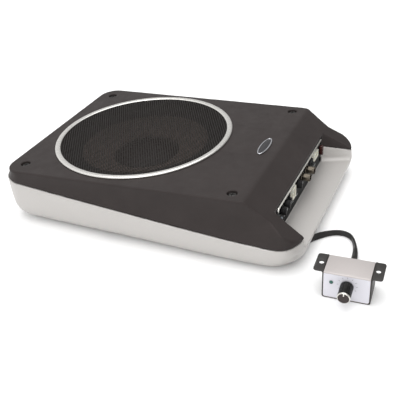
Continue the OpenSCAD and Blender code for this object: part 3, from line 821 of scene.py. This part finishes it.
def perforated_sheet(radius, pitch, hole, z0, z1):
    """Hexagonal cells with a hexagonal hole in each: hole is its width across flats."""
    corners = [(math.cos(a), math.sin(a)) for a in (math.radians(60 * k + 30) for k in range(6))]
    reach, bore = pitch / math.sqrt(3), hole / math.sqrt(3)
    shared, points, faces, border = {}, [], [], {}

    def corner(x, y):
        key = (round(x * 50), round(y * 50))
        if key not in shared:
            shared[key] = len(points)
            points.extend([(x, y, z0), (x, y, z1)])
        return shared[key]

    rows = int(radius / (pitch * math.sqrt(3) / 2)) + 1
    for row in range(-rows, rows + 1):
        for column in range(-rows - 2, rows + 3):
            cx = (column + (row % 2) / 2) * pitch
            cy = row * pitch * math.sqrt(3) / 2
            if math.hypot(cx, cy) > radius - reach:
                continue
            outer = [corner(cx + reach * a, cy + reach * b) for a, b in corners]
            base = len(points)
            points.extend((cx + bore * a, cy + bore * b, z) for a, b in corners for z in (z0, z1))
            for k in range(6):
                n = (k + 1) % 6
                inner_k, inner_n = base + 2 * k, base + 2 * n
                faces.append([outer[k] + 1, outer[n] + 1, inner_n + 1, inner_k + 1])
                faces.append([outer[n], outer[k], inner_k, inner_n])
                faces.append([inner_k, inner_k + 1, inner_n + 1, inner_n])
                edge = (outer[k], outer[n])
                if border.pop(edge[::-1], None) is None:
                    border[edge] = True
    faces.extend([[a, b, b + 1, a + 1] for a, b in border])
    return points, faces


def oval(rims):
    """Rings of an oval boss: each rim is (inset, height)."""
    rx, ry = BADGE_HALF
    return [[((rx - inset) * math.cos(a), (ry - inset) * math.sin(a), z) for a in around(64)]
            for inset, z in rims]


def make_grille():
    sheet = perforated_sheet(RING_R - 2.6, GRILLE_PITCH, GRILLE_HOLE, GAP, GAP + 1.0)
    piece("grille_sheet", *sheet, "grille_black", stands_for="grille", at=TOP, sharp=0)
    inner = RING_R - RING_W
    profile = [(RING_R - 2.4, GAP), (RING_R - 0.2, GAP), (RING_R, 0.4), (RING_R, 1.1), (RING_R - 0.3, 1.7),
               (RING_R - 0.9, 2.15), (RING_R - 1.8, 2.4), (RING_R - 3.0, 2.4), (inner + 1.6, 2.3),
               (inner + 0.7, 2.05), (inner + 0.15, 1.7), (inner, 1.4), (RING_R - 2.4, 1.3)]
    ring = lathe(profile, 256, closed=True)
    piece("grille_ring", *ring, "ring_satin", stands_for="trim_ring", at=TOP, sharp=50)


def make_badge():
    at = TOP @ Matrix.Translation((*BADGE_AT, 0))
    rims = [(0.3, GAP), (0, 0.4), (0, 1.0), (0.4, 1.45), (1.0, 1.55), (1.6, 1.35), (1.75, 0.9), (1.75, 0.3)]
    piece("badge_bezel", *loft(oval(rims), closed=True), "badge_metal", stands_for="badge", at=at)
    field = loft(oval([(1.8, 0.35), (1.8, 0.85), (2.4, 1.0), (3.6, 1.15), (5.2, 1.25)]))
    piece("badge_field", *field, "badge_metal", at=at, look="badge_field")


def make_cover_screws():
    """Cross-headed screws with domed heads, deep in their cups."""
    head = lathe([(0, 0), (3.6, 0), (4.15, 0.5), (4.2, 1.1), (3.7, 1.6), (2.6, 1.9), (0, 2.0)], 40)
    cross = [prism(rectangle(-2.6, -0.45, 2.6, 0.45), 1, 3), prism(rectangle(-0.45, -2.6, 0.45, 2.6), 0.9, 3)]
    for number, (x, y) in enumerate((x, s * SCREW_Y) for x in SCREW_X for s in (-1, 1)):
        at = TOP @ Matrix.Translation((x - RING_X, y, -3.4))
        nodes = "cover_screws" if number == 0 else ""
        name = f"cover_screw_{number}"
        made = piece(name, *head, "black_steel", stands_for=nodes, at=at, look="screw_head")
        for slot_form in cross:
            cut(made, slot_form, at)
        sharp_shaded(made, 40)


make_grille()
make_badge()
make_cover_screws()

# ---- control panel ----

# places of the knobs along y, half the length of the bar printed at each y, and broken edges' widths
PANEL_KNOBS = {"crossover": -64.5, "gain": -52, "boost": -12}
PANEL_BARS = {-64.5: 3.6, -52: 3, -40: 3.4, -29: 4.2, -12: 3, 4: 2.6, 20: 2.6, 33: 4, 51.5: 6}
FINE = 0.25
SOFT_EDGES = {"panel_trim": 0.45, "rubber_feet": 0.8, "control_panel": FINE, "panel_screws": FINE,
              "phase_switch": FINE, "speaker_input_socket": FINE, "remote_port": FINE,
              "power_socket": FINE, "fuse": 0.4, "fuse_holder": FINE}


def fluted(radius, depth, count, steps=4):
    """Outline of a grip with so many soft flutes."""
    outline = []
    for a in around(count * steps):
        r = radius - depth * (0.5 - 0.5 * math.cos(a * count)) ** 2
        outline.append((r * math.cos(a), r * math.sin(a)))
    return outline


def make_panel_knob(name, y):
    """Fluted knob with a chamfered end, a dished face and a light pointer."""
    at, end = facing_x(y, CONTROL_Z, PANEL_X - 0.5), KNOB_L
    grip = fluted(KNOB_R, 0.35, 20)
    plain = circle(KNOB_R, len(grip))
    levels = [(plain, 0, 0.96), (plain, 0.3), (plain, 1.2), (grip, 1.6), (grip, end - 0.7, 0.985),
              (grip, end - 0.1, 0.9), (plain, end, 0.84), (plain, end - 0.3, 0.78), (plain, end - 0.4, 0.2)]
    form = loft([at_height(*level) for level in levels])
    shared = {"slot": "knob_black", "body": name + "_dial", "at": at}
    piece(name + "_knob_grip", *form, stands_for=name + "_knob", sharp=45, **shared)
    pointer = prism(rectangle(-4.1, -0.35, -1.2, 0.35, 0.2), end - 0.38, end - 0.05, 0.05)
    piece(name + "_knob_pointer", *pointer, look="print_light", sharp=0, **shared)


def make_rca_jacks():
    shell_profile = [(3.5, 1), (3.5, 16.9), (3.62, 17), (4.0, 17), (4.15, 16.8), (4.15, 8.4), (5.1, 8.4),
                     (5.4, 8.1), (5.4, 7.5), (5.1, 7.2), (4.15, 7.2), (4.15, 0), (0, 0), (0, 1)]
    insert_profile = [(0, 0), (3.35, 0), (3.4, 0.1), (3.4, 12.7), (3.1, 13), (1.8, 13), (1.6, 12.8),
                      (1.6, 1), (0, 1)]
    for name, y, look in (("left", 4, None), ("right", 20, "insert_red")):
        nodes = ("rca_jack_shells", "rca_jack_inserts") if name == "left" else ("", "")
        piece("rca_shell_" + name, *lathe(shell_profile, 48), "gold_plate", stands_for=nodes[0],
              at=facing_x(y, CONTROL_Z, PANEL_X - 8), sharp=40)
        piece("rca_insert_" + name, *lathe(insert_profile, 40), "insert_plastic", stands_for=nodes[1],
              at=facing_x(y, CONTROL_Z, PANEL_X - 6.9), look=look, sharp=40)


def make_panel_print():
    """Plain light marks beside the controls: scale dots round the knobs and a bar under each socket."""
    face = PANEL_X - 0.98
    dot = prism(rectangle(-0.35, -0.35, 0.35, 0.35, 0.1), 0, 0.05)
    marks = []
    for y in PANEL_KNOBS.values():
        for k in range(7):
            a = math.radians(-210 + 40 * k)
            marks.append(moved(dot, facing_x(y + 6.1 * math.cos(a), CONTROL_Z - 6.1 * math.sin(a), face)))
    for y, half in PANEL_BARS.items():
        marks.append(moved(prism(rectangle(-0.5, -half, 0.5, half, 0.2), 0, 0.05), facing_x(y, 30, face)))
    piece("panel_print", *joined(*marks), "panel_black", look="print_light", sharp=0)


def make_power_led():
    dome = lathe([(0, 0), (1.5, 0), (1.5, 5.6), (1.35, 6.05), (0.9, 6.3), (0, 6.4)], 32)
    at = facing_x(PANEL_KNOBS["crossover"], 34, PANEL_X - 6)
    piece("power_lamp", *dome, "led_clear", stands_for="power_led", at=at, sharp=35)


for knob, knob_y in PANEL_KNOBS.items():
    make_panel_knob(knob, knob_y)
make_rca_jacks()
make_panel_print()
make_power_led()
for soft_node, soft_edge in SOFT_EDGES.items():
    softened(soft_node, soft_edge)

# ---- driver's soft rings, stretched between the enclosure and the cone ----


def make_flexing_ring(name, node, profile, slot):
    """Ring in narrow sectors, each reaching from the enclosure at its rim to the cone at its bore."""
    for k in range(FLEX_SECTORS):
        turns = [(k + step / 5) * 2 * math.pi / FLEX_SECTORS for step in range(6)]
        form = loft([[(r * math.cos(a), r * math.sin(a), z) for r, z in profile[::-1]] for a in turns])
        nodes = node if k == 0 else ""
        made = piece(f"{name}_{k:02d}", *form, slot, body=None, stands_for=nodes, at=TOP, sharp=40)
        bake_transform(made)


def rolled(radius_x, radius_z, base, turn):
    """Half an oval over the gap between basket and cone, from its rim inwards or back."""
    turns = [math.pi * k / 12 for k in range(13)][::turn]
    return [(81.5 + radius_x * math.cos(a), base + radius_z * math.sin(a)) for a in turns]


surround_profile = [(91, -10.5), (88, -10.5), *rolled(6.4, 5.2, -10.5, 1), (73, -10.5), (73, -9.7),
                    *rolled(6.9, 5.3, -9.8, -1), (91, -9.9)]
make_flexing_ring("surround_roll", "surround", surround_profile, "surround_rubber")
waves = [(25.7 + 0.5 * k, -32.5 + 0.6 * math.sin(k * math.pi / 4)) for k in range(65)]
spider_profile = [(r, z - 0.25) for r, z in waves] + [(r, z + 0.25) for r, z in reversed(waves)]
make_flexing_ring("spider_web", "spider", spider_profile, "spider_cloth")

# ---- remote control ----


def make_bracket():
    """Folded sheet: floor, two cheeks and two ears with their holes."""
    half, top = REMOTE_W / 2, REMOTE_H
    ear, neck = half + 9, half + 0.6
    under = fillet(mirrored([(half, 0, 2.4), (half, top - 1, 0)]), closed=False)
    over = fillet(mirrored([(1 - half, 1, 1.4), (1 - half, top - 0.9, 0)]), closed=False)
    outline = [(-ear, top - 1), *under, (ear, top - 1), (ear, top), (half + 0.4, top),
               (half - 0.6, top - 0.3), *over, (0.6 - half, top - 0.3), (-half - 0.4, top), (-ear, top)]
    form = prism(outline, -REMOTE_D / 2, REMOTE_D / 2)
    made = piece("remote_frame", *form, "bracket_black", stands_for="remote_bracket", at=REMOTE @ UPRIGHT)
    plan = [(neck, -14, 0), (neck, -12.5, 0), (ear, -12.5, 2.8), (ear, 13, 2.8), (neck, 13, 0), (neck, 14, 0)]
    cut(made, prism(fillet(mirrored(plan)), -5, 40), REMOTE, "INTERSECT")
    for side in (-1, 1):
        cut(made, prism(circle(2.2, 48, side * EAR_HOLES / 2), 20, 40), REMOTE)
    bevelled(made, 0.18, 40)


def make_remote_cover():
    """Front, top and back of the case, folded from one sheet."""
    half, top = REMOTE_W / 2 - 1.2, REMOTE_H
    front = REMOTE_D / 2 + 0.1
    inner = front - 1
    outside = fillet(mirrored([(front, top, 1.5), (front, 1.1, 0)]), closed=False)
    inside = fillet(mirrored([(-inner, top - 1, 0.6), (-inner, 1.1, 0)]), closed=False)
    form = prism((outside + inside)[::-1], -half, half)
    made = piece("remote_case", *form, "remote_silver", stands_for="remote_cover", at=REMOTE @ SIDEWAYS)
    face = REMOTE @ UPRIGHT
    outline = fillet(mirrored([(half, 1, 2.2), (half, top + 2, 0)]))
    cut(made, prism(outline, -20, 20), face, "INTERSECT")
    cut(made, prism(circle(3.6, 48, *KNOB_AT), 5, 20), face)
    cut(made, prism(circle(1.6, 32, *LAMP_AT), 5, 20), face)
    cut(made, prism(rectangle(-5.9, 7.4, 2.9, 11.6, 0.6), -20, -5), face)
    bevelled(made, 0.15, 40)


def on_front(x, z):
    """Frame on the front of the remote's case: its z axis points out of the case."""
    return REMOTE @ Matrix.Translation((x, -REMOTE_D / 2 - 0.1, z)) @ UPRIGHT


def make_remote_knob():
    """Gloss knob with fine flutes, a bright chamfered collar, and a matt face with a pointer notch."""
    end = LEVEL_L
    shared = {"body": "remote_dial", "at": on_front(*KNOB_AT)}
    grip = fluted(6, 0.3, 28)
    plain = circle(6, len(grip))
    levels = [(plain, 1.2, 0.95), (plain, 1.5), (plain, 3.2), (grip, 3.8), (grip, end - 2.6, 0.985),
              (plain, end - 2.0, 0.96), (plain, end - 1.4, 0.93)]
    form = loft([at_height(*level) for level in levels])
    piece("level_knob", *form, "remote_knob_gloss", stands_for="remote_knob", sharp=45, **shared)
    collar = [(5.45, end - 1.35), (5.95, end - 1.35), (6, end - 1.2), (5.95, end - 0.85), (5.35, end - 0.2),
              (5.15, end - 0.1), (5.1, end - 0.3), (5.1, end - 1.2)]
    collar = lathe(collar, closed=True)
    piece("level_knob_collar", *collar, "trim_silver", stands_for="remote_knob_collar", sharp=40, **shared)
    face = [(0, end - 1.4), (5.0, end - 1.4), (5.08, end - 1.2), (5.08, end - 0.4), (4.8, end - 0.2),
            (0, end - 0.05)]
    piece("level_knob_face", *lathe(face, 64), "remote_knob_gloss", look="knob_face", **shared)
    pointer = prism(rectangle(-0.5, 2.4, 0.5, 5.3, 0.3), end - 0.6, end + 0.15, 0.08)
    piece("level_knob_pointer", *pointer, "trim_silver", sharp=0, **shared)


def make_label():
    """Thin white overlay on the front of the case, open round the knob's shaft and the lamp."""
    half, top = REMOTE_W / 2 - 1.3, REMOTE_H - 1.3
    at = on_front(0, 0)
    sheet = prism(fillet(mirrored([(half, 1.6, 2.0), (half, top, 0.4)])), 0.02, 0.14)
    made = piece("remote_label", *sheet, "remote_silver", at=at, look="label", sharp=0)
    cut(made, prism(circle(3.7, 48, *KNOB_AT), -2, 2), at)
    cut(made, prism(circle(1.7, 32, *LAMP_AT), -2, 2), at)


def make_remote_details():
    lamp = [(0, -6), (1.5, -6), (1.5, 0.16), (1.8, 0.18), (1.85, 0.5), (1.6, 0.95), (0.9, 1.2), (0, 1.3)]
    at = on_front(*LAMP_AT)
    piece("remote_lamp", *lathe(lamp, 40), "led_green", stands_for="remote_led", at=at, sharp=35)
    mark = prism(rectangle(-0.14, -0.75, 0.14, 0.75), 0.15, 0.19)
    ticks = []
    for k in range(11):
        a = math.radians(-150 + 30 * k)
        spot = on_front(KNOB_AT[0] + 8.6 * math.sin(a), KNOB_AT[1] + 8.6 * math.cos(a))
        ticks.append(moved(mark, spot @ Matrix.Rotation(-a, 4, "Z")))
    piece("remote_ticks", *joined(*ticks), "remote_silver", look="print_dark", sharp=0)
    softened("remote_grommet", 0.5)
    softened("remote_cover_screws", 0.3)


make_bracket()
make_remote_cover()
make_label()
make_remote_knob()
make_remote_details()

# ---- the remote's flat lead ----

# x, y, height of the middle, and lean from flat in degrees
LEAD_ROUTE = [
    (217.2, -96.1, 9.5, 0), (216.6, -88, 9.3, 0), (215.8, -79, 8, 8), (214.6, -69, 6, 25),
    (212.8, -58, 4.6, 50), (210, -47, 3.7, 75), (206, -37, 3.5, 90), (201, -31, 3.5, 90),
    (194, -28.6, 3.5, 90), (187, -29.6, 3.5, 90), (180, -33.4, 3.5, 85), (173, -39.2, 3.5, 65),
    (166, -46, 2.8, 35), (160, -52, 1.6, 8), (152, -59.5, 1.3, 0), (142, -67, 1.3, 0),
    (128, -72, 1.3, 0), (112, -72, 1.3, 0), (96, -67, 1.3, 0), (80, -58, 1.3, 0), (66, -45, 1.3, 0),
    (55, -29, 1.3, 0), (48, -10, 1.3, 0), (46, 10, 1.3, 0), (49, 30, 1.3, 0), (56, 48, 1.3, 0),
    (65, 65, 1.3, 0), (74, 80, 1.3, 0), (81, 92, 1.3, 0), (85, 102, 1.3, 0), (86.6, 112, 2.6, 30),
    (87, 122, 3.5, 75), (87, 131.5, 3.5, 90),
]
TAIL_ROUTE = [
    (-51.5, 170, 9.8, 90), (-58, 169.8, 8.6, 90), (-66, 169, 5.6, 90), (-73, 167.8, 3.9, 90),
    (-80, 166.4, 3.5, 90),
]
HANK_AT = (10.0, 143.0)
HANK_RUN = 100.0
HANK_OUTER, HANK_INNER = 27.1, 15.1
HANK_LOW, HANK_HIGH = 3.45, 10.15
HANK_PITCH = 2.4
HANK_ARC = math.pi * (HANK_OUTER + HANK_INNER) / 4
HANK_LAP = 4 * HANK_ARC + 2 * HANK_RUN


def hank_point(turn):
    """Middle of the lead after so many turns: in to the core, up a layer, and out again."""
    wound_in = (HANK_OUTER - HANK_INNER) / HANK_PITCH
    radius = HANK_OUTER - HANK_PITCH * turn
    if turn >= wound_in:
        radius = HANK_INNER + HANK_PITCH * max(0.0, turn - wound_in - 1.4)
    climb = float(ramp(turn - wound_in, 0.4, 1.0))
    height = HANK_LOW + (HANK_HIGH - HANK_LOW) * climb * climb * (3 - 2 * climb)
    # the second half of each lap is the first half, turned round
    side = 1 if turn % 1 < 0.5 else -1
    run = max(0.0, turn % 0.5 * HANK_LAP - HANK_ARC)
    a = (turn % 0.5 * HANK_LAP - min(run, HANK_RUN)) / HANK_ARC * math.pi / 2
    x = HANK_RUN / 2 - min(run, HANK_RUN) + radius * math.cos(a)
    return (HANK_AT[0] + side * x, HANK_AT[1] + side * radius * math.sin(a), height, 90)


def curved(route, step=4.0):
    """A smooth line through every point of a route."""
    points = [np.array(p, float) for p in route]
    line = []
    for i in range(len(points) - 1):
        a, b, c, d = (points[min(max(i + k, 0), len(points) - 1)] for k in (-1, 0, 1, 2))
        count = max(1, round(float(np.linalg.norm((c - b)[:3])) / step))
        for t in (k / count for k in range(count)):
            bend = 2 * a - 5 * b + 4 * c - d + t * (3 * (b - c) + d - a)
            line.append(b + 0.5 * t * (c - a + t * bend))
    return line + [points[-1]]


def lead_section():
    """Half the flat lead's outline is four soft ribs, one over each core."""
    ribs, steps = 4, 4
    top = []
    for k in range(ribs * steps + 1):
        x = -LEAD_W / 2 + LEAD_W * k / (ribs * steps)
        rib = abs(math.sin(math.pi * k / steps))
        edge = math.sqrt(max(0.0, 1 - (2 * x / LEAD_W) ** 8))
        top.append((x, (LEAD_T / 2 - 0.22 + 0.22 * rib) * max(edge, 0.3)))
    return top + [(x, -y) for x, y in reversed(top)]


def hank_line():
    """Points of the hank, up to the straight where the tail leaves it."""
    last = (HANK_OUTER - HANK_INNER) / HANK_PITCH * 2 + 1.4
    count = round(last * 72)
    leaves = int(last) + (HANK_ARC + HANK_RUN) / HANK_LAP
    turns = [last * k / count for k in range(1, count + 1)]
    return [hank_point(turn) for turn in turns if turn <= leaves]


def make_lead():
    line = np.array(curved(LEAD_ROUTE) + hank_line() + curved(TAIL_ROUTE))
    keep = [0]
    for i in range(1, len(line)):
        if np.linalg.norm(line[i, :3] - line[keep[-1], :3]) > 1.5:
            keep.append(i)
    line = line[keep]
    rings = []
    for i, (x, y, z, lean) in enumerate(line):
        along = Vector(line[min(i + 1, len(line) - 1), :3] - line[max(i - 1, 0), :3]).normalized()
        side = along.cross(Vector((0, 0, 1))).normalized()
        up = side.cross(along)
        a = math.radians(lean)
        wide = side * math.cos(a) + up * math.sin(a)
        thick = up * math.cos(a) - side * math.sin(a)
        rings.append([Vector((x, y, z)) + wide * p + thick * q for p, q in lead_section()])
    lead = piece("remote_lead", *loft(rings), "cord_vinyl", stands_for="remote_cord cord_hank cord_tail")
    path = line[:, :3] * MM
    length = float(np.linalg.norm(np.diff(path, axis=0), axis=1).sum())
    return lead, path.tolist(), length


def make_plug():
    """Modular plug: clear body, spring latch and gilt contacts."""
    at = Matrix.Translation((-80.1, 166.4, 0.2)) @ Matrix.Rotation(math.radians(11), 4, "Z")
    body = prism(rectangle(-14, -3.4, 0, 3.4, 0.5), 0, 9.6, 0.25)
    made = piece("plug_body", *body, "plug_clear", stands_for="cord_plug", at=at, sharp=0)
    latch = fillet([(-13.5, 3.0, 0.3), (-2, 5.6, 0.5), (-1.2, 5.1, 0.3), (-12.5, 2.4, 0.3)])
    piece("plug_latch", *prism(latch, 2.6, 7, 0.1), "plug_clear", at=at, sharp=0)
    contacts = joined(*[prism(rectangle(-13.8, -3.65, -9.6, -3.3), z, z + 0.6) for z in (2.2, 3.8, 5.4, 7.0)])
    piece("plug_contacts", *contacts, "gold_plate", at=at, sharp=0)
    return made


def make_tie():
    lo, hi = box_mm("cord_tie")
    thick = 1.2
    y0, y1, top = lo.y + thick, hi.y - thick, hi.z - thick
    band = [(lo.y, 0.1, 0), (lo.y, hi.z, 2.6), (hi.y, hi.z, 2.6), (hi.y, 0.1, 0),
            (y1, 0.1, 0), (y1, top, 1.6), (y0, top, 1.6), (y0, 0.1, 0)]
    form = prism(fillet(band), 0, hi.x - lo.x, 0.2)
    at = Matrix.Translation((lo.x, 0, 0)) @ SIDEWAYS
    return piece("lead_tie", *form, "tie_plastic", stands_for="cord_tie", at=at, sharp=35)


lead, lead_path, lead_length = make_lead()
plug = make_plug()
tie = make_tie()

# ---- floor and light ----


def make_studio():
    """White paper, light from all round that is stronger from behind and the left, and three lamps."""
    half = 6000
    corners = [(-half, -half, 0), (half, -half, 0), (half, half, 0), (-half, half, 0)]
    floor = drawn("floor", corners, [(0, 1, 2, 3)])
    floor.data.materials.append(Look("paper", srgb(250, 250, 250), 0.9).mottled(0.006, 3).material)
    world = bpy.data.worlds.new("studio")
    sky = Shading(world)
    aim = sky.nodes.new("ShaderNodeVectorMath")
    aim.operation = "DOT_PRODUCT"
    sky.put(sky.add("TexCoord", "Generated"), aim.inputs[0])
    sky.put((0.8, 0.6, 0), aim.inputs[1])
    strength = sky.ranged(aim.outputs["Value"], 1.2, 0.38, -1, 1)
    sky.fill(sky.nodes["Background"].inputs, Color=(1, 1, 1, 1), Strength=strength)
    bpy.context.scene.world = world
    for name, place, target, size, power in (
        ("key", (0.3, -1.7, 1.5), (0, 0, 0.05), 0.8, 7),
        ("fill", (1.2, -1.2, 0.8), (0.05, 0, 0.05), 1.0, 3),
        ("top", (0.1, 0.1, 1.9), (0, 0, 0.05), 2.2, 29),
    ):
        data = bpy.data.lights.new(name, "AREA")
        data.energy = power
        data.size = size
        light = bpy.data.objects.new(name, data)
        light.location = place
        light.rotation_euler = (Vector(target) - Vector(place)).to_track_quat("-Z", "Y").to_euler()
        bpy.context.scene.collection.objects.link(light)
    bpy.context.scene.view_settings.view_transform = "Standard"


make_studio()
